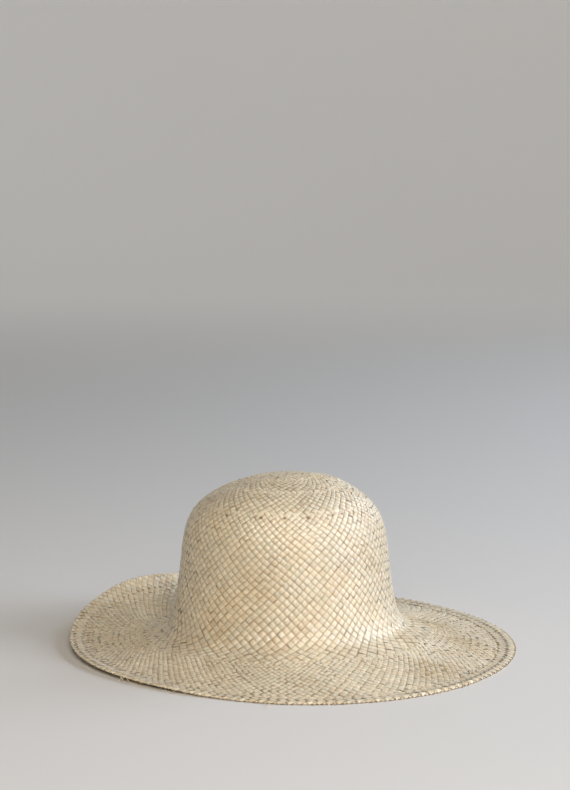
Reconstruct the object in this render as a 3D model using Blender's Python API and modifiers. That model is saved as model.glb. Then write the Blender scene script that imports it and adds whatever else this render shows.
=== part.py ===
"""Woven straw hat: an open round crown and a wide wavy brim with a turned edge.

The hat rests on its brim. +Z is up and -Y is the front. The rows below are in millimetres, measured
from the crown's axis and the floor. They give the underside of the straw, and the wall is added
outwards. The finished hat is moved so that its origin is on the floor under the middle of the brim.
"""

import bpy
import numpy as np

MM = 0.001

# One layer of woven straw, the doubled layer of the turned edge and the gap between the pieces
WALL = 1.6
EDGE_WALL = 2.4
GAP = 0.3

# Facets round the hat, and the longest distance at which turned points are merged at the tip
STEPS = 72
MERGE = 0.01

# Breadth of the turned edge, and the height up the crown over which its uneven foot fades out
EDGE_BREADTH = 15.0
FOOT_FADE = 45.0

# The brim falls from its foot to the floor by FALL_END of its breadth, and curls up to its rim
FALL_END = 0.86
FALL_POWER = 1.2
CURL_POWER = 1.9

# The dents fade where the brim comes down to the floor: over the last 1 / DENT_FADE of its fall
DENT_FADE = 5.0

# Inside of the crown, from its tip to its foot
CROWN_ROWS = (
    # radius, height
    (0.0, 151.5),
    (14.0, 151.0),
    (28.0, 149.0),
    (42.0, 145.5),
    (56.0, 140.0),
    (68.5, 132.5),
    (77.5, 124.0),
    (83.5, 114.0),
    (87.0, 103.0),
    (89.0, 90.5),
    (90.5, 76.0),
    (92.5, 60.0),
    (95.0, 44.5),
    (97.5, 33.5),
    (101.5, 25.0),
    (107.0, 20.0),
    (113.5, 18.0),
)
FOOT_RADIUS, FOOT_HEIGHT = CROWN_ROWS[-1]

# The brim and its turned edge start as flat rings whose outer radius is twice the inner one
PATTERN_RADIUS = 100.0

# Rings of the brim and of its turned edge, as shares of their own breadths
BRIM_RINGS = (0.0, 0.14, 0.30, 0.48, 0.66, 0.83, 1.0)
EDGE_RINGS = (0.0, 0.33, 0.66, 1.0)

# The rim, from the right side round by the back, the left and the front
RIM_ROWS = (
    # angle, reach from the axis, height of the rim, height of the foot
    (0.0, 203.0, 0.0, 18.0),
    (25.0, 203.0, 0.0, 18.0),
    (45.0, 204.0, 0.5, 17.0),
    (60.0, 206.0, 1.0, 16.0),
    (78.0, 203.0, 0.0, 15.0),
    (94.0, 199.0, 5.0, 15.0),
    (110.0, 196.0, 20.0, 15.0),
    (125.0, 194.0, 29.0, 14.0),
    (140.0, 194.0, 29.5, 14.0),
    (155.0, 192.0, 22.5, 13.0),
    (168.0, 191.0, 16.0, 12.0),
    (182.0, 189.5, 9.0, 12.0),
    (197.0, 188.0, 5.5, 13.0),
    (210.0, 186.0, 4.0, 14.0),
    (225.0, 184.5, 3.0, 15.0),
    (240.0, 185.5, 2.0, 16.0),
    (255.0, 190.0, 0.0, 17.0),
    (270.0, 198.0, 0.0, 18.0),
    (290.0, 204.0, 0.0, 18.0),
    (310.0, 206.0, 0.0, 18.0),
    (330.0, 204.0, 0.0, 18.0),
)

# Soft dents and swellings, two on the crown's top and the others on the brim
DENT_ROWS = (
    # angle, distance from the axis, spread, height of the middle
    (182.0, 46.0, 26.0, -4.0),
    (10.0, 40.0, 20.0, 2.5),
    (20.0, 138.0, 16.0, -3.0),
    (335.0, 125.0, 14.0, 2.0),
    (150.0, 132.0, 22.0, -3.0),
    (285.0, 150.0, 24.0, 2.0),
)

STRAW_LIGHT = (0.66, 0.55, 0.38)
STRAW_DULL = (0.55, 0.47, 0.33)
STRAW_EDGE = (0.70, 0.60, 0.44)
STRAW_ROUGHNESS = 0.55


def around(angle, column):
    """A column of RIM_ROWS at angles in degrees, on a smooth closed curve through its values."""
    rows = np.array(RIM_ROWS)
    angles = rows[:, 0]
    values = rows[:, column]
    count = len(rows)
    here = (np.searchsorted(angles, angle % 360.0, side="right") - 1) % count
    there = (here + 1) % count
    before = (here - 1) % count
    beyond = (there + 1) % count
    width = (angles[there] - angles[here]) % 360.0
    slope_here = (values[there] - values[before]) / ((angles[there] - angles[before]) % 360.0)
    slope_there = (values[beyond] - values[here]) / ((angles[beyond] - angles[here]) % 360.0)
    t = ((angle - angles[here]) % 360.0) / width
    start = (1 + 2 * t) * (1 - t) ** 2 * values[here] + t * (1 - t) ** 2 * width * slope_here
    end = t * t * (3 - 2 * t) * values[there] + t * t * (t - 1) * width * slope_there
    return np.maximum(start + end, 0.0)


def dented(x, y):
    """How far the dents lift the straw at a place."""
    lift = np.zeros_like(x)
    for angle, distance, spread, height in DENT_ROWS:
        middle_x = distance * np.cos(np.radians(angle))
        middle_y = distance * np.sin(np.radians(angle))
        away = ((x - middle_x) ** 2 + (y - middle_y) ** 2) / spread**2
        lift += height * np.exp(-away)
    return lift


def on_crown(radius, height, angle):
    """Points of the crown: its turned form, with the foot raised or lowered as the rim rows say."""
    x = radius * np.cos(np.radians(angle))
    y = radius * np.sin(np.radians(angle))
    fade = np.clip(1.0 - (height - FOOT_HEIGHT) / FOOT_FADE, 0.0, 1.0) ** 2
    z = height + fade * (around(angle, 3) - FOOT_HEIGHT)
    return x, y, z + dented(x, y)


def on_brim(radius, angle):
    """Points of the brim: it falls from its foot towards the floor and curls up to its rim."""
    reach = around(angle, 1)
    share = (radius - FOOT_RADIUS) / (reach - FOOT_RADIUS)
    fall = np.clip(1.0 - share / FALL_END, 0.0, 1.0) ** FALL_POWER
    curl = np.clip(share, 0.0, 1.0) ** CURL_POWER
    x = radius * np.cos(np.radians(angle))
    y = radius * np.sin(np.radians(angle))
    z = around(angle, 3) * fall + around(angle, 2) * curl
    z += dented(x, y) * np.clip(DENT_FADE * fall, 0.0, 1.0)
    return x, y, np.maximum(z, 0.0)


def brim_shape(across, _, angle):
    """The brim from its flat pattern, a ring from PATTERN_RADIUS to twice that."""
    share = across / PATTERN_RADIUS - 1.0
    inner = FOOT_RADIUS + GAP
    outer = around(angle, 1) - EDGE_BREADTH - GAP
    return on_brim(inner + share * (outer - inner), angle)


def edge_shape(across, _, angle):
    """The turned edge from the same flat pattern."""
    share = across / PATTERN_RADIUS - 1.0
    return on_brim(around(angle, 1) - EDGE_BREADTH * (1.0 - share), angle)


def middle_of_brim():
    """The middle of the rim's extent in X and in Y."""
    angle = np.arange(STEPS) * (360.0 / STEPS)
    reach = around(angle, 1)
    x = reach * np.cos(np.radians(angle))
    y = reach * np.sin(np.radians(angle))
    return np.array([(x.min() + x.max()) / 2, (y.min() + y.max()) / 2, 0.0])


def turned_sheet(name, profile):
    """An open surface turned from a profile of (radius, height) pairs, as a mesh of its own."""
    outline = bpy.data.meshes.new(name + "_profile")
    points = [(radius * MM, 0.0, height * MM) for radius, height in profile]
    links = [(index, index + 1) for index in range(len(points) - 1)]
    outline.from_pydata(points, links, [])
    guide = bpy.data.objects.new(name + "_profile", outline)
    bpy.context.scene.collection.objects.link(guide)
    turn = guide.modifiers.new("Turn", "SCREW")
    turn.steps = STEPS
    turn.render_steps = STEPS
    turn.use_merge_vertices = True
    turn.merge_threshold = MERGE * MM
    turned = guide.evaluated_get(bpy.context.evaluated_depsgraph_get())
    sheet = bpy.data.meshes.new_from_object(turned)
    bpy.data.objects.remove(guide)
    bpy.data.meshes.remove(outline)
    return sheet


def shaped_wall(name, profile, shape, wall, material, collection):
    """A turned sheet moved to the hat's own form and given its wall, which stands out from the sheet."""
    sheet = turned_sheet(name, profile)
    points = np.empty(len(sheet.vertices) * 3, np.float32)
    sheet.vertices.foreach_get("co", points)
    points = points.reshape(-1, 3).astype(float) / MM
    across = np.hypot(points[:, 0], points[:, 1])
    angle = np.degrees(np.arctan2(points[:, 1], points[:, 0]))
    placed = (np.stack(shape(across, points[:, 2], angle), axis=1) - middle_of_brim()) * MM
    sheet.vertices.foreach_set("co", placed.astype(np.float32).ravel())
    sheet.shade_smooth()
    sheet.materials.append(material)
    sheet.name = name
    piece = bpy.data.objects.new(name, sheet)
    collection.objects.link(piece)
    solid = piece.modifiers.new("Wall", "SOLIDIFY")
    solid.thickness = wall * MM
    solid.offset = 1.0
    solid.use_even_offset = True
    return piece


def straw(name, colour):
    """Dry palm straw with a soft shine."""
    material = bpy.data.materials.new(name)
    material.use_nodes = True
    surface = material.node_tree.nodes["Principled BSDF"]
    surface.inputs["Base Color"].default_value = (*colour, 1.0)
    surface.inputs["Roughness"].default_value = STRAW_ROUGHNESS
    surface.inputs["Metallic"].default_value = 0.0
    return material


def crown(collection):
    """The head's hollow, from the tip down to the foot where the brim starts."""
    material = straw("crown_straw", STRAW_LIGHT)
    return shaped_wall("crown", CROWN_ROWS, on_crown, WALL, material, collection)


def brim(collection):
    """The wide leaf round the crown's foot, as far as the line where the straw ends are turned back."""
    material = straw("brim_straw", STRAW_DULL)
    profile = [(PATTERN_RADIUS * (1.0 + ring), 0.0) for ring in BRIM_RINGS]
    return shaped_wall("brim", profile, brim_shape, WALL, material, collection)


def turned_edge(collection):
    """The outer band, double because the straws are turned back there. The hat rests on it."""
    material = straw("edge_straw", STRAW_EDGE)
    profile = [(PATTERN_RADIUS * (1.0 + ring), 0.0) for ring in EDGE_RINGS]
    return shaped_wall("turned_edge", profile, edge_shape, EDGE_WALL, material, collection)


def main():
    for obj in list(bpy.data.objects):
        bpy.data.objects.remove(obj)
    collection = bpy.data.collections.new("straw_hat")
    bpy.context.scene.collection.children.link(collection)
    crown(collection)
    brim(collection)
    turned_edge(collection)


if __name__ == "__main__":
    main()
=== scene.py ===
"""Woven straw hat, dressed: flat palm strips plaited over and under on the form of the solids.

The strips follow two spirals that cross at right angles. On a ring of radius r a strip turns round the
axis by ds / r for each step ds down the form, so every cell of the weave is square. That running sum of
ds / r is called the turn below, and the weave is laid out on (turn, angle).
"""

import math

import bpy
import numpy as np
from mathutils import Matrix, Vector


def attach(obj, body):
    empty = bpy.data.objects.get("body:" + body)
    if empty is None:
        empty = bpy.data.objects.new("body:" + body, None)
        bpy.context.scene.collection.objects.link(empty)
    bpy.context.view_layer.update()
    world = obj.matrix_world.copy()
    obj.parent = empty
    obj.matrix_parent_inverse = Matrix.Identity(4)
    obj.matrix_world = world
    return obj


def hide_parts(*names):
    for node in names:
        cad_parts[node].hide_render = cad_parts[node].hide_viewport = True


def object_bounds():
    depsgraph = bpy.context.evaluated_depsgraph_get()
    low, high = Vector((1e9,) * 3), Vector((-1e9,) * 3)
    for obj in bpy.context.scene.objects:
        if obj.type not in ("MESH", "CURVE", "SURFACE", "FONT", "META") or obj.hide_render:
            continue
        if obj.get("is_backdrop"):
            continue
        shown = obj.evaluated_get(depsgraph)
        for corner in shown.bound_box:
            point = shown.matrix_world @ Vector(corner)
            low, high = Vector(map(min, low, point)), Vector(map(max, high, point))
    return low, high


bl_info = {
    "name": "Woven Straw Hat",
    "version": (1, 0, 0),
    "blender": (4, 5, 0),
    "location": "View3D > Sidebar > Straw Hat",
    "description": "Plaits a straw hat of flat palm strips over its solids",
    "category": "Add Mesh",
}

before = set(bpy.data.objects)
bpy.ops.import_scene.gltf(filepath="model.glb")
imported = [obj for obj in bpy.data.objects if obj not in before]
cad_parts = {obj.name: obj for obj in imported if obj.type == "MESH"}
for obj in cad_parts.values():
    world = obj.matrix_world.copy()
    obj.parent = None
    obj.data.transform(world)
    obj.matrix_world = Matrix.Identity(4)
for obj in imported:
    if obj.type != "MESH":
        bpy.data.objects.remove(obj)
CAD_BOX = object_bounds()

MM = 0.001

# The rows below repeat the hat's form, in millimetres from the crown's axis and the floor. They give the
# underside of the straw.
CROWN_ROWS = (
    # radius, height
    (0.0, 151.5),
    (14.0, 151.0),
    (28.0, 149.0),
    (42.0, 145.5),
    (56.0, 140.0),
    (68.5, 132.5),
    (77.5, 124.0),
    (83.5, 114.0),
    (87.0, 103.0),
    (89.0, 90.5),
    (90.5, 76.0),
    (92.5, 60.0),
    (95.0, 44.5),
    (97.5, 33.5),
    (101.5, 25.0),
    (107.0, 20.0),
    (113.5, 18.0),
)
FOOT_RADIUS, FOOT_HEIGHT = CROWN_ROWS[-1]
CROWN_END = len(CROWN_ROWS) - 1

# Height up the crown over which its uneven foot fades out
FOOT_FADE = 45.0

# The brim falls from its foot to the floor by FALL_END of its breadth, and curls up to its rim
FALL_END = 0.86
FALL_POWER = 1.2
CURL_POWER = 1.9

# The dents fade where the brim comes down to the floor: over the last 1 / DENT_FADE of its fall
DENT_FADE = 5.0

# Near its foot the brim's wall leans outwards, by FOOT_LEAN there and by nothing at LEAN_END of its breadth
FOOT_LEAN = 0.29
LEAN_END = 0.3

RIM_ROWS = (
    # angle, reach from the axis, height of the rim, height of the foot
    (0.0, 203.0, 0.0, 18.0),
    (25.0, 203.0, 0.0, 18.0),
    (45.0, 204.0, 0.5, 17.0),
    (60.0, 206.0, 1.0, 16.0),
    (78.0, 203.0, 0.0, 15.0),
    (94.0, 199.0, 5.0, 15.0),
    (110.0, 196.0, 20.0, 15.0),
    (125.0, 194.0, 29.0, 14.0),
    (140.0, 194.0, 29.5, 14.0),
    (155.0, 192.0, 22.5, 13.0),
    (168.0, 191.0, 16.0, 12.0),
    (182.0, 189.5, 9.0, 12.0),
    (197.0, 188.0, 5.5, 13.0),
    (210.0, 186.0, 4.0, 14.0),
    (225.0, 184.5, 3.0, 15.0),
    (240.0, 185.5, 2.0, 16.0),
    (255.0, 190.0, 0.0, 17.0),
    (270.0, 198.0, 0.0, 18.0),
    (290.0, 204.0, 0.0, 18.0),
    (310.0, 206.0, 0.0, 18.0),
    (330.0, 204.0, 0.0, 18.0),
)

# Columns of RIM_ROWS
REACH = 1
RIM_LEVEL = 2
FOOT_LEVEL = 3

DENT_ROWS = (
    # angle, distance from the axis, spread, height of the middle
    (182.0, 46.0, 26.0, -4.0),
    (10.0, 40.0, 20.0, 2.5),
    (20.0, 138.0, 16.0, -3.0),
    (335.0, 125.0, 14.0, 2.0),
    (150.0, 132.0, 22.0, -3.0),
    (285.0, 150.0, 24.0, 2.0),
)

# Facets round the solids, whose extent puts the frame's origin under the middle of the brim
FACETS = 72

STAINS = (
    # x, y and z of the middle from the frame's origin, size, strength
    (125.0, 18.0, 6.0, 34.0, 0.9),
    (118.0, -112.0, 4.0, 30.0, 0.7),
    (152.0, -30.0, 4.0, 34.0, 0.6),
    (-28.0, -92.0, 70.0, 30.0, 0.25),
    (-60.0, -78.0, 45.0, 26.0, 0.2),
)

GAP_SHADE_SPOTS = (
    # angle and radius on the crown, size: painted shade spots for small gaps where strips were added, and two
    # holes
    (195.0, 76.0, 2.2),
    (230.0, 76.0, 2.0),
    (254.5, 75.5, 2.4),
    (270.0, 75.5, 2.0),
    (284.7, 75.5, 2.8),
    (301.8, 75.0, 2.2),
    (309.8, 75.0, 2.2),
    (320.0, 75.0, 2.0),
    (174.0, 19.0, 2.4),
    (217.0, 30.0, 2.0),
)

LOOSE_ROWS = (
    # angle on the rim, length, lean from straight out in degrees, width
    (222.5, 3.0, 40.0, 0.9),
    (223.3, 4.5, -30.0, 1.2),
    (224.0, 3.5, 10.0, 1.1),
    (224.8, 5.0, 45.0, 0.8),
    (225.6, 4.0, -50.0, 1.3),
    (229.0, 3.5, 60.0, 0.6),
    (231.0, 3.0, -55.0, 0.7),
    (238.0, 4.0, 65.0, 0.5),
    (242.5, 9.0, -62.0, 0.5),
    (244.0, 6.0, 58.0, 0.5),
    (249.0, 4.0, -40.0, 0.6),
    (258.0, 3.5, 50.0, 0.5),
    (267.0, 14.0, -40.0, 0.6),
    (281.0, 3.0, 35.0, 0.5),
    (171.0, 3.0, 35.0, 0.5),
    (122.0, 3.5, 30.0, 0.5),
)

# A loose end: its rings of points, how far it curls in radians, how far inside the rim it starts, how low
# it comes, how much narrower its tip is and half its thickness
LOOSE_RINGS = 9
LOOSE_CURL = 0.5
LOOSE_INSET = 1.5
LOOSE_LOW = 0.4
LOOSE_TAPER = 0.7
LOOSE_HALF = 0.12

# The middle of the weave stands this high over the underside: in the wall, and in the turned edge's layers
MID_WALL = 0.8
LOW_LAYER = 0.62
LAYER_STEP = 1.15

# Millimetres before the rim over which the straw draws in by half a layer, and over which its middle comes
# down from the wall's to the lower layer's
DRAW_IN = 8.0
COME_DOWN = 12.0

# The upper layer's inner ends sink by END_SINK over SINK_RUN millimetres, from SINK_START past the rim
SINK_START = 8.0
SINK_RUN = 5.0
END_SINK = 0.5

# Zones of the weave down the form: radius where each starts, and strips in each of its two families
CENTRE_RADIUS = 24.0
ZONES = {"cap": (CENTRE_RADIUS, 40), "top": (47.0, 60), "side": (73.0, 80), "brim": (123.0, 160)}

# The patch at the tip: pitch of its straight strips, how many lie to each side of the middle, how far they
# are turned, and how far they run on past where the spirals start
TIP_PITCH = 4.6
TIP_HALF = 6
TIP_TURN = math.radians(38.0)
TIP_OVERLAP = 3.0

# The rim lies between two crossings of the brim's strips. In the turned edge's lower layer the strips
# have LOWER_ROWS crossings, and in its upper layer one more than that.
RIM_ROW = 28.27
LOWER_ROWS = 3
RIM_TURN = RIM_ROW * math.pi / ZONES["brim"][1]
MEAN_REACH = FOOT_RADIUS * math.exp(RIM_TURN)

# The crossing round which the turned edge's painted groove shade fades and its painted rim highlight shows,
# and the rows over which they do
FOLD_ROW = 28.5
EDGE_ROWS = 2.4

# Shares of a crossing at which a strip has points, how far it is bent over there, how unevenly it is bent,
# and how far its ends run on beneath their neighbours
CROSSING_STEPS = np.array([-0.31, 0.0, 0.31])
CROSSING_BEND = np.array([0.7, 1.0, 0.7])
BEND_SPREAD = 0.07
TUCK = 0.3

# Rate and share of the slow sines along a strip: two by which it strays and one by which its width varies
STRAY_SINES = ((0.9, 1.0), (0.37, 0.7))
WIDTH_SINE = (0.6, 0.04)
WIDTH_RANGE = (0.90, 1.03)

# Each strip's fibres are read this many crossings further along the noise than those of the one before
FIBRE_SHIFT = 17.0

# A gentle warp bends the rows: height, waves round the hat, waves down it and phase of each sine. It fades
# over WARP_FADE of a turn and is gone WARP_END before the rim.
WARP_SIDEWAYS = ((0.014, 3, 4, 1.0), (0.008, 5, -6, 0.0))
WARP_DOWN = ((0.016, 2, 2.5, 2.0), (0.009, 7, 5, 0.0))
WARP_END = 0.1
WARP_FADE = 0.3

# How strong the brim's painted groove shade is and how loosely it is woven, against the crown
BRIM_GROOVE_SHADE = 0.75
BRIM_LOOSENESS = 2.0

# Straw that rests on the floor is pressed flat this far above it
FLOOR_GAP = 0.02

# How a strip ends: how far it is bent there, how far in some of the strips, and the share of those
TUCKED = (-1.12, -1.12, 0.0)
BENEATH = (-1.9, -1.9, 0.0)
LAID_ON = (-1.12, 1.3, 0.4)
TURNED_IN = (1.12, -0.9, 0.4)

# Cross-section of a strip: across it in shares of its width, and up in shares of its crowning and thickness
SECTION_ACROSS = np.array([-0.5, -0.22, 0.22, 0.5, 0.5, -0.5])
SECTION_CROWN = np.array([-1.0, 0.0, 0.0, -1.0, 0.0, 0.0])
SECTION_SIDE = np.array([1.0, 1.0, 1.0, 1.0, -1.0, -1.0])

# Faces that meet at more than this are shaded with an edge between them
SHARP_ANGLE = math.radians(50.0)

# Seeds of the random draws
SEEDS = {"tip": 7, "cap": 21, "top": 25, "side": 41, "brim": 61, "edge": 81, "loose": 5}

# Noise along the strips: rates across, along and from strip to strip for the fibres, and the last two for
# the slow drift of the tint
FIBRE_RATES = (15.0, 0.5, 70.0)
DRIFT_RATES = (0.12, 60.0)

# Most of the tint is the strip's and the cell's own, and the rest is the drift
OWN_TINT = 0.85
DRIFT_TINT = 0.3

# Darkest and brightest of the patches over the hat and of the fibres, where their noise leaves NOISE_SPAN
NOISE_SPAN = (0.3, 0.7)
PATCH_SHADES = (0.92, 1.05)
FIBRE_SHADES = (0.78, 1.12)

# Painted highlight that makes the rim pale: by how much, and how narrowly
RIM_HIGHLIGHT = 0.18
RIM_HIGHLIGHT_POWER = 8.0

# Where the painted groove shade shows: from this far across a strip to its side, and from this bend down to
# this one
GROOVE_SHADE_ACROSS = (0.40, 0.50)
GROOVE_SHADE_BENDS = (-0.5, 0.8)

# Least strength of a stain where noise breaks it up
STAIN_EVENNESS = 0.2

# How much the roughness differs from cell to cell and from fibre to fibre
CELL_ROUGHNESS = 0.24
FIBRE_ROUGHNESS = 0.12

# Relief of the fibres
FIBRE_BUMP = 0.4
FIBRE_RELIEF = 0.15

# Finish of the straw that is the same all over
STRAW_FINISH = {
    "Anisotropic": 0.5,
    "Specular IOR Level": 0.6,
    "Coat Weight": 0.3,
    "Coat Roughness": 0.3,
    "Sheen Weight": 0.06,
    "Sheen Roughness": 0.4,
}

# The photograph's height, the crown's foot in it and its scale there, in pixels
PHOTO_HEIGHT = 790.0
FOOT_PIXEL = 644.0
PIXELS_A_METRE = 1120.0

# The lights point at the middle of the crown, this high in metres
AIM_HEIGHT = 0.07


def around(angle, column):
    """A column of RIM_ROWS at angles in degrees, on a smooth closed curve of Hermite cubics."""
    rows = np.array(RIM_ROWS)
    angles = rows[:, 0]
    values = rows[:, column]
    count = len(rows)
    here = (np.searchsorted(angles, angle % 360.0, side="right") - 1) % count
    there = (here + 1) % count
    before = (here - 1) % count
    beyond = (there + 1) % count
    width = (angles[there] - angles[here]) % 360.0
    slope_here = (values[there] - values[before]) / ((angles[there] - angles[before]) % 360.0)
    slope_there = (values[beyond] - values[here]) / ((angles[beyond] - angles[here]) % 360.0)
    t = ((angle - angles[here]) % 360.0) / width
    start = (1 + 2 * t) * (1 - t) ** 2 * values[here] + t * (1 - t) ** 2 * width * slope_here
    end = t * t * (3 - 2 * t) * values[there] + t * t * (t - 1) * width * slope_there
    return np.maximum(start + end, 0.0)


def dented(x, y):
    """How far the dents lift the straw: a sum of bells, height * exp(-distance^2 / spread^2)."""
    lift = np.zeros_like(x)
    for angle, distance, spread, height in DENT_ROWS:
        middle_x = distance * np.cos(np.radians(angle))
        middle_y = distance * np.sin(np.radians(angle))
        away = ((x - middle_x) ** 2 + (y - middle_y) ** 2) / spread**2
        lift += height * np.exp(-away)
    return lift


def profile_curve():
    """The crown's profile and its stations, on Catmull-Rom cubics through the rows, 40 samples a row."""
    samples = 40
    rows = np.array(CROWN_ROWS)
    mirrored = rows[1] * (-1.0, 1.0)
    ahead = 2 * rows[-1] - rows[-2]
    knots = np.vstack([mirrored, rows, ahead])
    station = np.linspace(0.0, CROWN_END, samples * CROWN_END + 1)
    here = np.minimum(station.astype(int), CROWN_END - 1)
    t = (station - here)[:, None]
    p0, p1, p2, p3 = knots[here], knots[here + 1], knots[here + 2], knots[here + 3]
    points = p1 + 0.5 * t * (p2 - p0 + t * (2 * p0 - 5 * p1 + 4 * p2 - p3 + t * (3 * (p1 - p2) + p3 - p0)))
    return station, points


# Along the crown's profile: the slope, the length and the turn, which is kept finite at the tip
STATION, PROFILE = profile_curve()
SLOPE = np.gradient(PROFILE, axis=0)
STEP = np.hypot(SLOPE[:, 0], SLOPE[:, 1])
LENGTH = np.concatenate([[0.0], np.cumsum(0.5 * (STEP[1:] + STEP[:-1]))])
TURN = np.cumsum(STEP / np.maximum(PROFILE[:, 0], CENTRE_RADIUS / 2))
TURN -= TURN[-1]


def turn_at(radius):
    """The turn of the ring of this radius: 0 at the crown's foot, less above it."""
    if radius < FOOT_RADIUS:
        return float(np.interp(radius, PROFILE[:, 0], TURN))
    return math.log(radius / FOOT_RADIUS)


def on_crown(station, angle, over):
    """The crown: its profile turned round the axis, its uneven foot and its dents.

    The foot's unevenness fades upwards as the square of what is left of FOOT_FADE. The point stands over
    millimetres along the profile's normal.
    """
    radius = np.interp(station, STATION, PROFILE[:, 0])
    height = np.interp(station, STATION, PROFILE[:, 1])
    out = np.interp(station, STATION, -SLOPE[:, 1] / STEP)
    up = np.interp(station, STATION, SLOPE[:, 0] / STEP)
    degrees = np.degrees(angle)
    x = radius * np.cos(angle)
    y = radius * np.sin(angle)
    fade = np.clip(1.0 - (height - FOOT_HEIGHT) / FOOT_FADE, 0.0, 1.0) ** 2
    z = height + fade * (around(degrees, FOOT_LEVEL) - FOOT_HEIGHT) + dented(x, y)
    return np.stack([x + over * out * np.cos(angle), y + over * out * np.sin(angle), z + over * up], axis=-1)


def on_brim(share, inward, angle, over):
    """The brim at a share of its breadth and some millimetres inward: foot * fall + rim * curl + dents.

    The point stands over millimetres above it, and a little outwards near the foot.
    """
    degrees = np.degrees(angle)
    reach = around(degrees, REACH)
    radius = FOOT_RADIUS + share * (reach - FOOT_RADIUS) - inward
    share = (radius - FOOT_RADIUS) / (reach - FOOT_RADIUS)
    fall = np.clip(1.0 - share / FALL_END, 0.0, 1.0) ** FALL_POWER
    curl = np.clip(share, 0.0, 1.0) ** CURL_POWER
    x = radius * np.cos(angle)
    y = radius * np.sin(angle)
    z = around(degrees, FOOT_LEVEL) * fall + around(degrees, RIM_LEVEL) * curl
    z += dented(x, y) * np.clip(DENT_FADE * fall, 0.0, 1.0)
    lean = FOOT_LEAN * np.clip(1.0 - share / LEAN_END, 0.0, 1.0)
    x += over * lean * np.cos(angle)
    y += over * lean * np.sin(angle)
    return np.stack([x, y, np.maximum(z, 0.0) + over], axis=-1)


def hat_form(turn, angle):
    """The middle of the straw at (turn, angle): down the crown, across the brim, round the rim and back.

    Past the rim's turn the surface goes round a half circle as thick as one layer and returns inwards
    on top of the brim, as the strips do where they are folded back.
    """
    station = np.interp(turn, TURN, STATION)
    crown = on_crown(station, angle, MID_WALL)
    past = (turn - RIM_TURN) * MEAN_REACH
    half = LAYER_STEP / 2
    bend = np.clip(past / half, 0.0, math.pi)
    share = (FOOT_RADIUS * np.exp(np.clip(turn, 0.0, RIM_TURN)) - FOOT_RADIUS) / (MEAN_REACH - FOOT_RADIUS)
    inward = half * (1.0 - np.sin(bend)) + np.maximum(past - math.pi * half, 0.0)
    inward = np.where(turn < RIM_TURN, half * np.clip(1.0 + past / DRAW_IN, 0.0, 1.0), inward)
    wall = LOW_LAYER + (MID_WALL - LOW_LAYER) * np.clip(-past / COME_DOWN, 0.0, 1.0)
    sunk = END_SINK * np.clip((past - SINK_START) / SINK_RUN, 0.0, 1.0)
    brim = on_brim(share, inward, angle, wall + half * (1.0 - np.cos(bend)) - sunk)
    return np.where((turn < 0.0)[..., None], crown, brim)


def centre_form(across, along):
    """The middle of the straw at the crown's tip, laid on a flat sheet: station by distance from the tip."""
    distance = np.hypot(across, along)
    station = np.interp(distance, LENGTH, STATION)
    return on_crown(station, np.arctan2(along, across), MID_WALL)


def rim_middle():
    """The middle of the rim's extent, which is the frame's origin, from the crown's axis."""
    angle = np.arange(FACETS) * 360.0 / FACETS
    reach = around(angle, REACH)
    x = reach * np.cos(np.radians(angle))
    y = reach * np.sin(np.radians(angle))
    return np.array([(x.min() + x.max()) / 2, (y.min() + y.max()) / 2, 0.0])


RIM_MIDDLE = rim_middle()


def standing(form, first, second, lift):
    """Points lift millimetres off a form: its point plus lift times the unit normal of its two slopes."""
    small = 0.002
    here = form(first, second)
    normal = np.cross(form(first + small, second) - here, form(first, second + small) - here)
    normal /= np.linalg.norm(normal, axis=-1, keepdims=True)
    return here + lift[..., None] * normal


def strayed(rng, count, steps, sizes, loose):
    """How far off its lane each strip lies and how wide it is: its own number and slow sines along it."""
    phase = rng.uniform(0.0, 2 * math.pi, (count, 3))
    stray = sizes.wander * loose
    wander = rng.normal(0.0, stray, (count, 1))
    swings = [share * np.sin(rate * steps + phase[:, [at]]) for at, (rate, share) in enumerate(STRAY_SINES)]
    rate, share = WIDTH_SINE
    width = sizes.fill * rng.uniform(*WIDTH_RANGE, (count, 1))
    return wander + stray * sum(swings), width * (1.0 + share * np.sin(rate * steps + phase[:, 2:]))


def per_ring(values):
    """Values of the cells, repeated for the rings of points of each cell."""
    return values.repeat(len(CROSSING_STEPS), axis=1)


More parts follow.
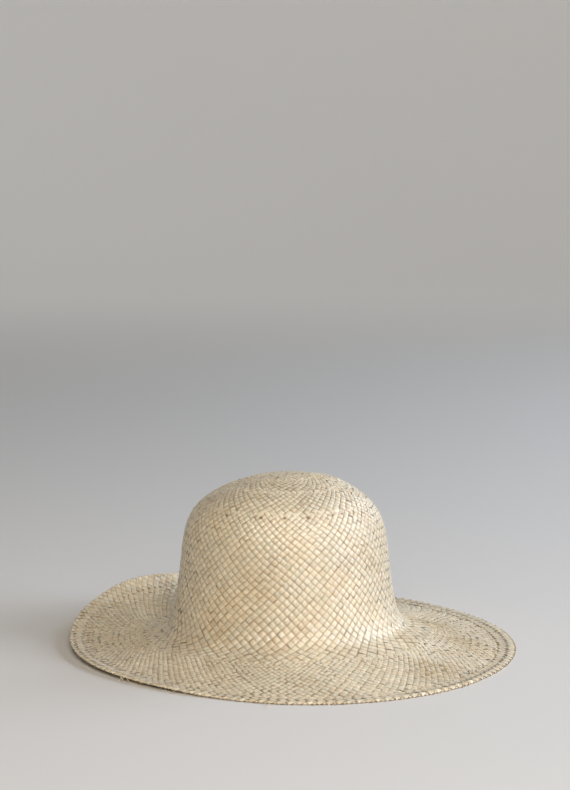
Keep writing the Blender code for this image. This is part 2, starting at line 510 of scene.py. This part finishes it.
def plait(form, lane, row, places, sizes, seed, ends=(TUCKED, TUCKED), wave=None, rim=None, loose=1.0):
    """Strips of one family as rows of six-sided rings: lift = wave * bend + crowned cross-section.

    places(lane, row, across) gives the two coordinates on the form. lane has one value a strip and row
    one a crossing; even rows pass over. Returns points and the numbers that the straw's colours read:
    (across, along, strip's tint) and (cell's tint, rise towards the side that shows, nearness to the rim).
    """
    rng = np.random.default_rng(seed)
    count = len(lane)
    cell_grid = (count, len(row))
    steps = (row[:, None] + CROSSING_STEPS).ravel()
    steps[0] -= TUCK
    steps[-1] += TUCK
    over = np.where(row % 2 == 0, 1.0, -1.0)
    bend = np.tile((over[:, None] * CROSSING_BEND).ravel(), (count, 1))
    bend += rng.normal(0.0, BEND_SPREAD, bend.shape)
    for ring, (most, some, share) in zip((0, -1), ends):
        bend[:, ring] = np.where(rng.uniform(size=count) < share, some, most)
    wander, width = strayed(rng, count, steps, sizes, loose)
    across = wander[..., None] + width[..., None] * SECTION_ACROSS
    first, second = places(lane[:, None, None], steps[None, :, None], across)
    flutter = per_ring(rng.normal(0.0, sizes.flutter * loose, cell_grid))
    tilt = per_ring(rng.normal(0.0, sizes.tilt, cell_grid))
    height = (sizes.wave if wave is None else wave) * bend + flutter
    lift = height[..., None] + sizes.crowning * SECTION_CROWN + sizes.thickness / 2 * SECTION_SIDE
    lift += tilt[..., None] * SECTION_ACROSS
    points = standing(form, first, second, lift)
    cells = per_ring(rng.uniform(0.0, 1.0, cell_grid))
    near_rim = np.zeros(len(steps)) if rim is None else np.exp(-(((steps - rim) / EDGE_ROWS) ** 2))
    along = steps + FIBRE_SHIFT * np.arange(count)[:, None]
    columns = (
        SECTION_ACROSS,
        along[..., None],
        rng.uniform(0.0, 1.0, (count, 1, 1)),
        cells[..., None],
        bend[..., None] * SECTION_SIDE,
        near_rim[:, None],
    )
    columns = [np.broadcast_to(column, lift.shape) for column in columns]
    return points, np.stack(columns[:3], axis=-1), np.stack(columns[3:], axis=-1)


def strip_faces(count, length, section):
    """Faces of count strips of length rings with section points each: sides as quads, ends as one face."""
    start = np.arange(count)[:, None, None] * length * section
    ring = np.arange(length - 1)[None, :, None] * section
    corner = np.arange(section)[None, None, :]
    after = (corner + 1) % section
    low = start + ring
    quads = np.stack([low + corner, low + section + corner, low + section + after, low + after], axis=-1)
    front = start[:, :, 0] + np.arange(section)
    back = start[:, :, 0] + (length - 1) * section + np.arange(section)[::-1]
    return quads.reshape(-1, 4), np.concatenate([front, back])


def joined(parts):
    """The points, strip numbers, cell numbers, sides and ends of several plaits, counted through as one."""
    points, strip, cell, sides, ends = [], [], [], [], []
    base = 0
    for place, along, shade in parts:
        quads, caps = strip_faces(*place.shape[:3])
        points.append(place.reshape(-1, 3))
        strip.append(along.reshape(-1, 3))
        cell.append(shade.reshape(-1, 3))
        sides.append(quads + base)
        ends.append(caps + base)
        base += place[..., 0].size
    return [np.concatenate(values) for values in (points, strip, cell, sides, ends)]


def add_piece(name, parts, material):
    """One mesh object of several plaits, with its strip and cell attributes, in metres at the frame."""
    points, strip, cell, sides, ends = joined(parts)
    loops = np.concatenate([sides.ravel(), ends.ravel()]).astype(np.int32)
    sizes = np.concatenate([np.full(len(faces), faces.shape[1]) for faces in (sides, ends)])
    starts = np.concatenate([[0], np.cumsum(sizes)[:-1]]).astype(np.int32)
    placed = (points - RIM_MIDDLE) * MM
    placed[:, 2] = np.maximum(placed[:, 2], FLOOR_GAP * MM)
    mesh = bpy.data.meshes.new(name)
    mesh.vertices.add(len(placed))
    mesh.loops.add(len(loops))
    mesh.polygons.add(len(starts))
    mesh.vertices.foreach_set("co", placed.astype(np.float32).ravel())
    mesh.loops.foreach_set("vertex_index", loops)
    mesh.polygons.foreach_set("loop_start", starts)
    mesh.update(calc_edges=True)
    for label, values in (("strip", strip), ("cell", cell)):
        layer = mesh.attributes.new(label, "FLOAT_VECTOR", "POINT")
        layer.data.foreach_set("vector", values.astype(np.float32).ravel())
    flat = mesh.uv_layers.new(name="fibre")
    flat.data.foreach_set("uv", strip[loops, :2].astype(np.float32).ravel())
    mesh.validate()
    mesh.shade_smooth()
    mesh.set_sharp_from_angle(angle=SHARP_ANGLE)
    mesh.materials.append(material)
    piece = bpy.data.objects.new(name, mesh)
    bpy.context.scene.collection.objects.link(piece)
    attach(piece, "root")
    return piece


def waves(rows, angle, turn):
    """A sum of sines over the hat: height * sin(round * angle + down * turn + phase)."""
    total = 0.0
    for height, round_it, down_it, phase in rows:
        total = total + height * np.sin(round_it * angle + down_it * turn + phase)
    return total


def spiral_places(count, family):
    """Places of a spiral family: turn = pi * row / count +- across / 2, angle = lane -+ turn + across / 2.

    The warp, the same for every zone, bends the rows.
    """
    pitch = 2 * math.pi / count

    def places(lane, row, across):
        """The turn and the angle of points across a strip."""
        turn = math.pi * row / count
        offset = across * pitch / 2
        angle = lane - family * turn + offset
        turn = turn + family * offset
        fade = np.clip((RIM_TURN - WARP_END - turn) / WARP_FADE, 0.0, 1.0)
        return turn + fade * waves(WARP_DOWN, angle, turn), angle + fade * waves(WARP_SIDEWAYS, angle, turn)

    return places


def spiral(count, row, family, sizes, seed, ends=(LAID_ON, BENEATH), wave=None, rim=None, loose=1.0):
    """One family of spiral strips over rows of crossings. Family 1 leans left going down, -1 right.

    The second family is counted one row on, so that it passes over where the first passes under.
    """
    lane = np.arange(count) * 2 * math.pi / count
    shift = 0 if family > 0 else 1
    places = spiral_places(count, family)
    fold = None if rim is None else rim + shift

    def shifted(lane_value, row_value, across):
        """The places of rows that are counted one on."""
        return places(lane_value, row_value - shift, across)

    return plait(hat_form, lane, row + shift, shifted, sizes, seed + family, ends, wave, fold, loose)


def zone_rows(name):
    """The rows of crossings of a zone, from the last row of the zone inside it to the next one's start."""
    names = list(ZONES)
    here = names.index(name)
    radius, count = ZONES[name]
    start = turn_at(radius)
    rounding = 0.01
    if here > 0:
        inside = ZONES[names[here - 1]][1]
        start = math.ceil(start * inside / math.pi) * math.pi / inside
    if name == names[-1]:
        end = RIM_ROW - LOWER_ROWS
    else:
        end = turn_at(ZONES[names[here + 1]][0]) * count / math.pi
    return np.arange(math.floor(start * count / math.pi + rounding), math.ceil(end) + 1)


def feed(tree, socket, value):
    """Links a socket to another node's output, or sets it to a number."""
    if isinstance(value, bpy.types.NodeSocket):
        tree.links.new(value, socket)
    else:
        socket.default_value = value


def calc(tree, kind, *values):
    """A Math node of these values."""
    node = tree.nodes.new("ShaderNodeMath")
    node.operation = kind
    for socket, value in zip(node.inputs, values):
        feed(tree, socket, value)
    return node.outputs[0]


def ranged(tree, value, low, high, to_low, to_high):
    """A smooth Map Range from low..high to to_low..to_high."""
    node = tree.nodes.new("ShaderNodeMapRange")
    node.interpolation_type = "SMOOTHSTEP"
    labels = ("Value", "From Min", "From Max", "To Min", "To Max")
    for label, number in zip(labels, (value, low, high, to_low, to_high)):
        feed(tree, node.inputs[label], number)
    return node.outputs["Result"]


def noise(tree, where, scale, detail):
    """Noise about 0.5 at a vector."""
    node = tree.nodes.new("ShaderNodeTexNoise")
    feed(tree, node.inputs["Vector"], where)
    feed(tree, node.inputs["Scale"], scale)
    feed(tree, node.inputs["Detail"], detail)
    return node.outputs[0]


def scaled(tree, values, rates):
    """A vector of values, each times its rate, for noise."""
    node = tree.nodes.new("ShaderNodeCombineXYZ")
    for socket, value, rate in zip(node.inputs, values, rates):
        feed(tree, socket, calc(tree, "MULTIPLY", value, rate))
    return node.outputs[0]


def stored(tree, name):
    """The three numbers of one of the straw's attributes."""
    attribute = tree.nodes.new("ShaderNodeAttribute")
    attribute.attribute_name = name
    parts = tree.nodes.new("ShaderNodeSeparateXYZ")
    tree.links.new(attribute.outputs["Vector"], parts.inputs[0])
    return parts.outputs


def colour_ramp(tree, value, stops):
    """A colour ramp through (position, colour) stops."""
    node = tree.nodes.new("ShaderNodeValToRGB")
    elements = node.color_ramp.elements
    elements[0].position = stops[0][0]
    elements[1].position = stops[-1][0]
    for position, _ in stops[1:-1]:
        elements.new(position)
    for element, (_, colour) in zip(elements, stops):
        element.color = (*colour, 1.0)
    tree.links.new(value, node.inputs[0])
    return node.outputs[0]


def tinted(tree, base, tint, factor):
    """The base colour, multiplied by a tint as far as the factor says."""
    mix = tree.nodes.new("ShaderNodeMix")
    mix.data_type = "RGBA"
    mix.blend_type = "MULTIPLY"
    feed(tree, mix.inputs["Factor"], factor)
    tree.links.new(base, mix.inputs["A"])
    mix.inputs["B"].default_value = (*tint, 1.0)
    return mix.outputs["Result"]


def leaf_colour(tree, look, along, tint, cell):
    """The leaf's own colour: a ramp read at the strip's tint, some of the cell's and a slow drift."""
    drift = noise(tree, scaled(tree, (along, tint), DRIFT_RATES), 1.0, 1.0)
    own = calc(tree, "MULTIPLY", tint, OWN_TINT - look.cell_share)
    own = calc(tree, "MULTIPLY_ADD", cell, look.cell_share, own)
    stops = (
        (0.06, look.lilac),
        (0.20, look.green),
        (0.36, look.cream),
        (0.54, look.gold),
        (0.68, look.cream),
        (0.82, look.orange),
        (0.96, look.tan),
    )
    return colour_ramp(tree, calc(tree, "MULTIPLY_ADD", drift, DRIFT_TINT, own), stops)


def brightness(tree, look, place, cell, near_rim, fibre):
    """How bright the straw is: patches over the hat times fibres times cells, plus a painted highlight along
    the rim.
    """
    patch = ranged(tree, noise(tree, place, 16.0, 2.0), *NOISE_SPAN, *PATCH_SHADES)
    streak = ranged(tree, fibre, *NOISE_SPAN, *FIBRE_SHADES)
    shade = calc(tree, "MULTIPLY_ADD", cell, look.cell_shade, 1.0 - look.cell_shade / 2)
    bright = calc(tree, "MULTIPLY", patch, calc(tree, "MULTIPLY", streak, shade))
    # The rim's paleness is a painted highlight
    return calc(tree, "MULTIPLY_ADD", calc(tree, "POWER", near_rim, RIM_HIGHLIGHT_POWER), RIM_HIGHLIGHT, bright)


def groove_shade_depth(tree, look, across, rise, near_rim, grooves):
    """Painted shade in the grooves: how far the groove tint shows at a strip's sides, and where it dips under
    away from the rim.
    """
    side = ranged(tree, calc(tree, "ABSOLUTE", across), *GROOVE_SHADE_ACROSS, 0.0, look.side_shade_depth * grooves)
    low = ranged(tree, rise, *GROOVE_SHADE_BENDS, look.groove_shade_depth * grooves, 0.0)
    low = calc(tree, "MULTIPLY", low, calc(tree, "SUBTRACT", 1.0, near_rim))
    return calc(tree, "MAXIMUM", side, low)


def straw_colour(tree, look, strip, cell, fibre, grooves):
    """The leaf's colour, stained, with painted shade on the crown's gaps and holes, times its brightness, and
    with painted shade in the grooves.
    """
    across, along, tint = strip
    shade, rise, near_rim = cell
    place = tree.nodes.new("ShaderNodeTexCoord").outputs["Object"]
    base = leaf_colour(tree, look, along, tint, shade)
    base = patched(tree, base, place, STAINS, look.stain, STAIN_EVENNESS)
    # Painted shade spots where the crown has gaps and holes
    base = patched(tree, base, place, gap_shade_rows(), look.groove, 1.0)
    lit = tree.nodes.new("ShaderNodeVectorMath")
    lit.operation = "SCALE"
    tree.links.new(base, lit.inputs[0])
    feed(tree, lit.inputs["Scale"], brightness(tree, look, place, shade, near_rim, fibre))
    # Painted shade: the groove tint darkens a strip's sides and where it dips under its neighbour
    depth = groove_shade_depth(tree, look, across, rise, near_rim, grooves)
    return tinted(tree, lit.outputs[0], look.groove, depth)


def patched(tree, base, where, rows, tint, evenness):
    """Multiplies by a tint in round patches that fade with distance from each row, broken up by noise."""
    broken = ranged(tree, noise(tree, where, 260.0, 1.0), 0.35, 0.65, evenness, 1.0)
    core = 0.2
    for x, y, z, size, strength in rows:
        away = tree.nodes.new("ShaderNodeVectorMath")
        away.operation = "DISTANCE"
        tree.links.new(where, away.inputs[0])
        away.inputs[1].default_value = (x * MM, y * MM, z * MM)
        near = ranged(tree, away.outputs["Value"], core * size * MM, size * MM, strength, 0.0)
        base = tinted(tree, base, tint, calc(tree, "MULTIPLY", near, broken))
    return base


def gap_shade_rows():
    """The painted shade spots of the gaps and holes as places on the crown's outside from the frame's origin,
    with size and strength.
    """
    angle, radius, size = np.array(GAP_SHADE_SPOTS).T
    station = np.interp(radius, PROFILE[:, 0], STATION)
    places = on_crown(station, np.radians(angle), 2 * MID_WALL) - RIM_MIDDLE
    return [(*place, reach, 1.0) for place, reach in zip(places.tolist(), size.tolist())]


def straw_material(name, look, grooves=1.0):
    """Dry palm leaf with a waxy shine: fibres along the strip in its colour, its gloss and its relief.

    The shine is drawn out across the fibres, as on anything finely ribbed.
    """
    material = bpy.data.materials.new(name)
    material.use_nodes = True
    tree = material.node_tree
    strip = stored(tree, "strip")
    cell = stored(tree, "cell")
    fibre = noise(tree, scaled(tree, strip, FIBRE_RATES), 1.0, 4.0)
    surface = tree.nodes["Principled BSDF"]
    feed(tree, surface.inputs["Base Color"], straw_colour(tree, look, strip, cell, fibre, grooves))
    smoothest = look.roughness - (CELL_ROUGHNESS + FIBRE_ROUGHNESS) / 2
    rough = calc(tree, "MULTIPLY_ADD", cell[0], CELL_ROUGHNESS, smoothest)
    feed(tree, surface.inputs["Roughness"], calc(tree, "MULTIPLY_ADD", fibre, FIBRE_ROUGHNESS, rough))
    tangent = tree.nodes.new("ShaderNodeTangent")
    tangent.direction_type = "UV_MAP"
    tangent.uv_map = "fibre"
    tree.links.new(tangent.outputs[0], surface.inputs["Tangent"])
    bump = tree.nodes.new("ShaderNodeBump")
    feed(tree, bump.inputs["Strength"], FIBRE_BUMP)
    feed(tree, bump.inputs["Distance"], FIBRE_RELIEF * MM)
    feed(tree, bump.inputs["Height"], fibre)
    tree.links.new(bump.outputs["Normal"], surface.inputs["Normal"])
    for label, value in STRAW_FINISH.items():
        surface.inputs[label].default_value = value
    return material


class HatStripSizes(bpy.types.PropertyGroup):
    """Sizes of the palm strips, in millimetres where a size has a unit."""

    fill: bpy.props.FloatProperty(
        name="Fill", description="Share of its lane that a strip fills", default=0.97, min=0.5, max=1.0
    )
    thickness: bpy.props.FloatProperty(
        name="Thickness", description="Thickness of a strip in millimetres", default=0.36, min=0.1, max=1.0
    )
    crowning: bpy.props.FloatProperty(
        name="Crowning",
        description="How much lower a strip's sides are than its middle, in millimetres",
        default=0.32,
    )
    wave: bpy.props.FloatProperty(
        name="Wave", description="How far a strip rises and dips at a crossing, in millimetres", default=0.54
    )
    wander: bpy.props.FloatProperty(
        name="Wander",
        description="How far a strip strays from its lane, as a share of its pitch",
        default=0.024,
    )
    flutter: bpy.props.FloatProperty(
        name="Flutter",
        description="How unevenly a strip rises from crossing to crossing, in millimetres",
        default=0.045,
    )
    tilt: bpy.props.FloatProperty(
        name="Tilt", description="How unevenly a cell leans from side to side, in millimetres", default=0.2
    )


def colour_property(name, description, value):
    """A colour that the sidebar shows as a swatch."""
    return bpy.props.FloatVectorProperty(
        name=name, description=description, subtype="COLOR", default=value, min=0.0, max=1.0
    )


class HatStrawLook(bpy.types.PropertyGroup):
    """Colours and shine of the straw."""

    cream: colour_property("Cream", "Palest strips", (0.79, 0.69, 0.51))
    gold: colour_property("Gold", "Most of the strips", (0.77, 0.66, 0.455))
    green: colour_property("Green", "Strips that dried pale and greenish", (0.75, 0.68, 0.50))
    lilac: colour_property("Lilac", "Strips that dried greyish", (0.72, 0.63, 0.50))
    orange: colour_property("Orange", "Strips that dried orange", (0.765, 0.635, 0.435))
    tan: colour_property("Tan", "Strips that dried brown", (0.70, 0.57, 0.39))
    # The groove tint is painted shade, in the grooves between the strips and on the crown's gaps and holes
    groove: colour_property("Groove", "Tint of the grooves between the strips", (0.38, 0.26, 0.14))
    stain: colour_property("Stain", "Tint of the stained patches", (0.66, 0.53, 0.30))
    groove_shade_depth: bpy.props.FloatProperty(
        name="Groove depth", description="How far the tint shows where a strip dips under", default=0.9
    )
    side_shade_depth: bpy.props.FloatProperty(
        name="Side depth", description="How far the groove's tint shows at a strip's sides", default=0.58
    )
    cell_share: bpy.props.FloatProperty(
        name="Cell share", description="How much of the tint changes from cell to cell", default=0.10
    )
    cell_shade: bpy.props.FloatProperty(
        name="Cell shade", description="From the darkest cell to the brightest, as a share", default=0.12
    )
    roughness: bpy.props.FloatProperty(
        name="Roughness", description="Mean roughness of the straw", default=0.37, min=0.0, max=1.0
    )


class HatStudio(bpy.types.PropertyGroup):
    """The studio round the hat: how far and how high the camera stands, the floor and the light."""

    distance: bpy.props.FloatProperty(
        name="Distance", description="From the camera to the crown's foot", unit="LENGTH", default=1.8
    )
    elevation: bpy.props.FloatProperty(
        name="Elevation",
        description="Of the camera above the hat",
        subtype="ANGLE",
        default=math.radians(14.0),
    )
    surface: colour_property("Surface", "Colour of the floor", (0.73, 0.705, 0.665))
    key_power: bpy.props.FloatProperty(
        name="Key light", description="Power of the light from the right", unit="POWER", default=71.0
    )
    back_power: bpy.props.FloatProperty(
        name="Back light",
        description="Power of the light from behind at the right",
        unit="POWER",
        default=30.0,
    )
    fill_power: bpy.props.FloatProperty(
        name="Fill light", description="Power of the light from the front", unit="POWER", default=89.0
    )
    wall_glow: bpy.props.FloatProperty(
        name="Wall glow", description="Light of the pale wall behind the hat", default=0.22
    )
    surround: bpy.props.FloatProperty(
        name="Surround", description="Brightness of the pale surround", default=0.01
    )


class HAT_OT_crown_top(bpy.types.Operator):
    """Plait the crown's top: a round patch at the tip and two zones of spirals round it"""

    bl_idname = "hat.crown_top"
    bl_label = "Crown top"

    def execute(self, context):
        sizes = context.scene.hat_strips
        parts = centre_patch(sizes)
        for name in ("cap", "top"):
            for family in (1, -1):
                parts.append(spiral(ZONES[name][1], zone_rows(name), family, sizes, SEEDS[name]))
        material = straw_material("crown_top_straw", context.scene.hat_look)
        piece = add_piece("crown_top_strips", parts, material)
        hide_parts("crown")
        return {"FINISHED"}


def centre_patch(sizes):
    """The tip: two families of straight strips on a flat sheet, cut to a round patch.

    Each family comes in two halves, as every second strip passes over where its neighbour passes under.
    """
    lane = (np.arange(-TIP_HALF, TIP_HALF) + 0.5) * TIP_PITCH
    row = np.arange(-TIP_HALF, TIP_HALF)
    radius = CENTRE_RADIUS + TIP_OVERLAP
    parts = []
    for family in (0, 1):
        for odd in (0, 1):

            def places(lane_value, row_value, across, family=family, odd=odd):
                """A strip's place on the sheet, whose ends stop on the patch's circle."""
                one = lane_value + across * TIP_PITCH
                reach = np.sqrt(np.maximum(radius**2 - lane_value**2, TIP_PITCH**2))
                other = np.clip((row_value + 0.5 + odd) * TIP_PITCH, -reach, reach)
                x, y = (other, one) if family == 0 else (-one, other)
                turned_x = x * math.cos(TIP_TURN) - y * math.sin(TIP_TURN)
                return turned_x, x * math.sin(TIP_TURN) + y * math.cos(TIP_TURN)

            seed = SEEDS["tip"] + 2 * family + odd
            parts.append(plait(centre_form, lane[odd::2], row, places, sizes, seed))
    return parts


class HAT_OT_crown_side(bpy.types.Operator):
    """Plait the crown's side, from its shoulder to its foot"""

    bl_idname = "hat.crown_side"
    bl_label = "Crown side"

    def execute(self, context):
        sizes = context.scene.hat_strips
        material = straw_material("crown_side_straw", context.scene.hat_look)
        for label, family in (("left", 1), ("right", -1)):
            parts = [spiral(ZONES["side"][1], zone_rows("side"), family, sizes, SEEDS["side"])]
            piece = add_piece("crown_side_strips_" + label, parts, material)
            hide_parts("crown")
        return {"FINISHED"}


class HAT_OT_brim(bpy.types.Operator):
    """Plait the brim, from the crown's foot to the turned edge"""

    bl_idname = "hat.brim"
    bl_label = "Brim"

    def execute(self, context):
        sizes = context.scene.hat_strips
        material = straw_material("brim_straw", context.scene.hat_look, grooves=BRIM_GROOVE_SHADE)
        count = ZONES["brim"][1]
        row = zone_rows("brim")[:-1]
        ends = (LAID_ON, TUCKED)
        for label, family in (("left", 1), ("right", -1)):
            parts = [spiral(count, row, family, sizes, SEEDS["brim"], ends, loose=BRIM_LOOSENESS)]
            piece = add_piece("brim_strips_" + label, parts, material)
            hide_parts("brim")
        return {"FINISHED"}


class HAT_OT_turned_edge(bpy.types.Operator):
    """Plait the turned edge: the strips go out to the rim, round it and back on top"""

    bl_idname = "hat.turned_edge"
    bl_label = "Turned edge"

    def execute(self, context):
        sizes = context.scene.hat_strips
        material = straw_material("edge_straw", context.scene.hat_look)
        count = ZONES["brim"][1]
        rim = math.floor(RIM_ROW) + 1
        row = np.arange(rim - LOWER_ROWS, rim + LOWER_ROWS + 1)
        wave = LAYER_STEP / 2 - sizes.thickness / 2
        ends = (TUCKED, TURNED_IN)
        parts = [spiral(count, row, family, sizes, SEEDS["edge"], ends, wave, FOLD_ROW) for family in (1, -1)]
        piece = add_piece("turned_edge_strips", parts, material)
        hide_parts("turned_edge")
        return {"FINISHED"}


class HAT_OT_loose_ends(bpy.types.Operator):
    """Add the split ends that stand out of the rim, most of them at the front left"""

    bl_idname = "hat.loose_ends"
    bl_label = "Loose ends"

    def execute(self, context):
        material = straw_material("loose_straw", context.scene.hat_look)
        piece = add_piece("loose_ends", [split_ends()], material)
        return {"FINISHED"}


def split_ends():
    """Thin split strips from the rim: each runs out, turns along the rim and sinks as the square of its run.

    Returns what plait returns. The straw lies in no groove there, so its rise is 1.
    """
    rows = np.array(LOOSE_ROWS)
    rng = np.random.default_rng(SEEDS["loose"])
    count = len(rows)
    run = np.linspace(0.0, 1.0, LOOSE_RINGS)
    angle, length, lean, width = (rows[:, [column]] for column in range(4))
    lean = np.radians(lean) + LOOSE_CURL * run * rng.choice([-1.0, 1.0], (count, 1))
    reach = around(angle, REACH) - LOOSE_INSET
    rim = around(angle, RIM_LEVEL) + MID_WALL
    out = length * run * np.cos(lean)
    turned = np.radians(angle) + length * run * np.sin(lean) / reach
    height = np.maximum(rim * (1.0 - run**2) + LOOSE_LOW, LOOSE_LOW)
    taper = width / 2 * (1.0 - LOOSE_TAPER * run)
    across = np.array([-1.0, 1.0, 1.0, -1.0])
    above = LOOSE_HALF * np.array([1.0, 1.0, -1.0, -1.0])
    side = taper[..., None] * across
    radius = (reach + out)[..., None] + side * np.sin(lean)[..., None]
    about = turned[..., None] - side * np.cos(lean)[..., None] / reach[..., None]
    z = np.broadcast_to(height[..., None] + above, radius.shape)
    points = np.stack([radius * np.cos(about), radius * np.sin(about), z], axis=-1)
    tint = np.broadcast_to(rng.uniform(0.3, 0.7, (count, 1, 1)), radius.shape)
    whole = np.ones(radius.shape)
    strip = np.stack([across / 2 * whole, 5 * run[:, None] * whole, tint], axis=-1)
    return points, strip, np.stack([tint, whole, whole], axis=-1)


class HAT_OT_studio(bpy.types.Operator):
    """Set the pale seamless floor, the soft lights and the camera"""

    bl_idname = "hat.studio"
    bl_label = "Studio"

    def execute(self, context):
        studio = context.scene.hat_studio
        add_floor(studio)
        add_lights(studio)
        add_camera(studio)
        context.scene.view_settings.view_transform = "Standard"
        return {"FINISHED"}


def add_floor(studio):
    """A flat floor that sweeps up into a round wall: a profile of a line and a quarter circle, turned."""
    flat, sweep, wall = 5.0, 2.0, 3.0
    inner = np.array([0.6, 2.5])
    sides, sweep_rings = 96, 13
    bend = np.linspace(0.0, math.pi / 2, sweep_rings)
    radius = np.concatenate([inner, flat + sweep * np.sin(bend), [flat + sweep]])
    level = np.concatenate([0 * inner, sweep * (1.0 - np.cos(bend)), [sweep + wall]])
    angle = np.arange(sides) * 2 * math.pi / sides
    x = radius[:, None] * np.cos(angle)
    y = radius[:, None] * np.sin(angle)
    points = np.stack([x, y, level[:, None] + 0 * angle], axis=-1).reshape(-1, 3)
    middle = [[0.0, 0.0, 0.0]]
    corner = np.arange(sides)
    after = (corner + 1) % sides
    low = np.arange(len(radius) - 1)[:, None] * sides
    quads = np.stack([low + corner, low + sides + corner, low + sides + after, low + after], axis=-1)
    fans = np.stack([np.full(sides, len(points)), corner, after], axis=-1)
    mesh = bpy.data.meshes.new("floor")
    mesh.from_pydata(points.tolist() + middle, [], quads.reshape(-1, 4).tolist() + fans.tolist())
    mesh.shade_smooth()
    mesh.materials.append(floor_material(studio))
    floor = bpy.data.objects.new("floor", mesh)
    bpy.context.scene.collection.objects.link(floor)
    floor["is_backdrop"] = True


def floor_material(studio):
    """A matt pale floor that glows softly far from the hat."""
    material = bpy.data.materials.new("pale_floor")
    material.use_nodes = True
    tree = material.node_tree
    surface = tree.nodes["Principled BSDF"]
    surface.inputs["Base Color"].default_value = (*studio.surface, 1.0)
    surface.inputs["Roughness"].default_value = 0.95
    surface.inputs["Specular IOR Level"].default_value = 0.1
    surface.inputs["Emission Color"].default_value = (1.0, 0.99, 0.97, 1.0)
    tree.links.new(backdrop_glow(tree, studio), surface.inputs["Emission Strength"])
    return material


def backdrop_glow(tree, studio):
    """The floor's glow: none near the hat, most on the wall behind it, a third of that at the sides."""
    dark_to, full_from = 0.6, 4.5
    front, back = -2.5, 4.5
    where = tree.nodes.new("ShaderNodeTexCoord").outputs["Object"]
    away = tree.nodes.new("ShaderNodeVectorMath")
    away.operation = "LENGTH"
    tree.links.new(where, away.inputs[0])
    place = tree.nodes.new("ShaderNodeSeparateXYZ")
    tree.links.new(where, place.inputs[0])
    far = ranged(tree, away.outputs["Value"], dark_to, full_from, 0.0, 1.0)
    behind = ranged(tree, place.outputs["Y"], front, back, 0.0, studio.wall_glow)
    return calc(tree, "MULTIPLY", far, behind)


def add_lights(studio):
    """Soft lights from the right, from behind at the right and from the front, in a pale surround."""
    rows = (
        # name, place, size, power, colour
        ("key_light", (2.7, -0.9, 1.4), 1.4, studio.key_power, (0.76, 0.84, 1.0)),
        ("back_light", (2.2, 1.5, 1.75), 1.4, studio.back_power, (0.66, 0.80, 1.0)),
        ("fill_light", (0.25, -2.9, 2.1), 1.8, studio.fill_power, (1.0, 0.92, 0.82)),
    )
    aim = np.array([0.0, 0.0, AIM_HEIGHT])
    for name, place, size, power, colour in rows:
        light = bpy.data.lights.new(name, "AREA")
        light.size = size
        light.energy = power
        light.color = colour
        lamp = bpy.data.objects.new(name, light)
        lamp.location = place
        lamp.rotation_euler = facing(aim - np.array(place))
        bpy.context.scene.collection.objects.link(lamp)
    world = bpy.data.worlds.new("studio")
    world.use_nodes = True
    background = world.node_tree.nodes["Background"]
    background.inputs["Color"].default_value = (0.97, 0.98, 1.0, 1.0)
    background.inputs["Strength"].default_value = studio.surround
    bpy.context.scene.world = world


def facing(direction):
    """Rotation that points an object's -Z along a direction, with its Y upwards."""
    x, y, z = direction / np.linalg.norm(direction)
    return (math.acos(-z), 0.0, math.atan2(-x, y))


def add_camera(studio):
    """The camera at the photograph's height: the crown's foot lies FOOT_PIXEL down in the picture."""
    focal = PIXELS_A_METRE * studio.distance
    camera = bpy.data.cameras.new("camera")
    camera.sensor_width = 36.0
    camera.lens = camera.sensor_width * focal / PHOTO_HEIGHT
    down = studio.elevation - math.atan((FOOT_PIXEL - PHOTO_HEIGHT / 2) / focal)
    holder = bpy.data.objects.new("camera", camera)
    axis = -RIM_MIDDLE * MM
    holder.location = (
        axis[0],
        axis[1] - studio.distance * math.cos(studio.elevation),
        studio.distance * math.sin(studio.elevation),
    )
    holder.rotation_euler = (math.pi / 2 - down, 0.0, 0.0)
    bpy.context.scene.collection.objects.link(holder)
    bpy.context.scene.camera = holder


class HAT_PT_panel(bpy.types.Panel):
    """Lists the hat's pieces and the sizes and colours of its straw"""

    bl_idname = "HAT_PT_panel"
    bl_label = "Straw Hat"
    bl_space_type = "VIEW_3D"
    bl_region_type = "UI"
    bl_category = "Straw Hat"

    def draw(self, context):
        """A button for each operator, then a box for each group of settings."""
        for operator in OPERATORS:
            self.layout.operator(operator.bl_idname)
        for name in GROUPS:
            group = getattr(context.scene, name)
            box = self.layout.box()
            for setting in group.__annotations__:
                box.prop(group, setting)


OPERATORS = (
    HAT_OT_studio,
    HAT_OT_crown_top,
    HAT_OT_crown_side,
    HAT_OT_brim,
    HAT_OT_turned_edge,
    HAT_OT_loose_ends,
)
GROUPS = {"hat_strips": HatStripSizes, "hat_look": HatStrawLook, "hat_studio": HatStudio}


def register():
    """Registers the classes and gives every scene the groups of settings."""
    for group in GROUPS.values():
        bpy.utils.register_class(group)
    for operator in OPERATORS:
        bpy.utils.register_class(operator)
    bpy.utils.register_class(HAT_PT_panel)
    for name, group in GROUPS.items():
        setattr(bpy.types.Scene, name, bpy.props.PointerProperty(type=group))


def unregister():
    """Takes back what register does, in the opposite order."""
    for name in GROUPS:
        delattr(bpy.types.Scene, name)
    bpy.utils.unregister_class(HAT_PT_panel)
    for operator in reversed(OPERATORS):
        bpy.utils.unregister_class(operator)
    for group in reversed(list(GROUPS.values())):
        bpy.utils.unregister_class(group)


def main():
    """Makes the studio and the hat's pieces in order."""
    register()
    bpy.ops.hat.studio()
    bpy.ops.hat.crown_top()
    bpy.ops.hat.crown_side()
    bpy.ops.hat.brim()
    bpy.ops.hat.turned_edge()
    bpy.ops.hat.loose_ends()
    boxes = {"cad": CAD_BOX, "visual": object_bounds()}
    plain = {name: [list(corner) for corner in box] for name, box in boxes.items()}


if __name__ == "__main__":
    main()
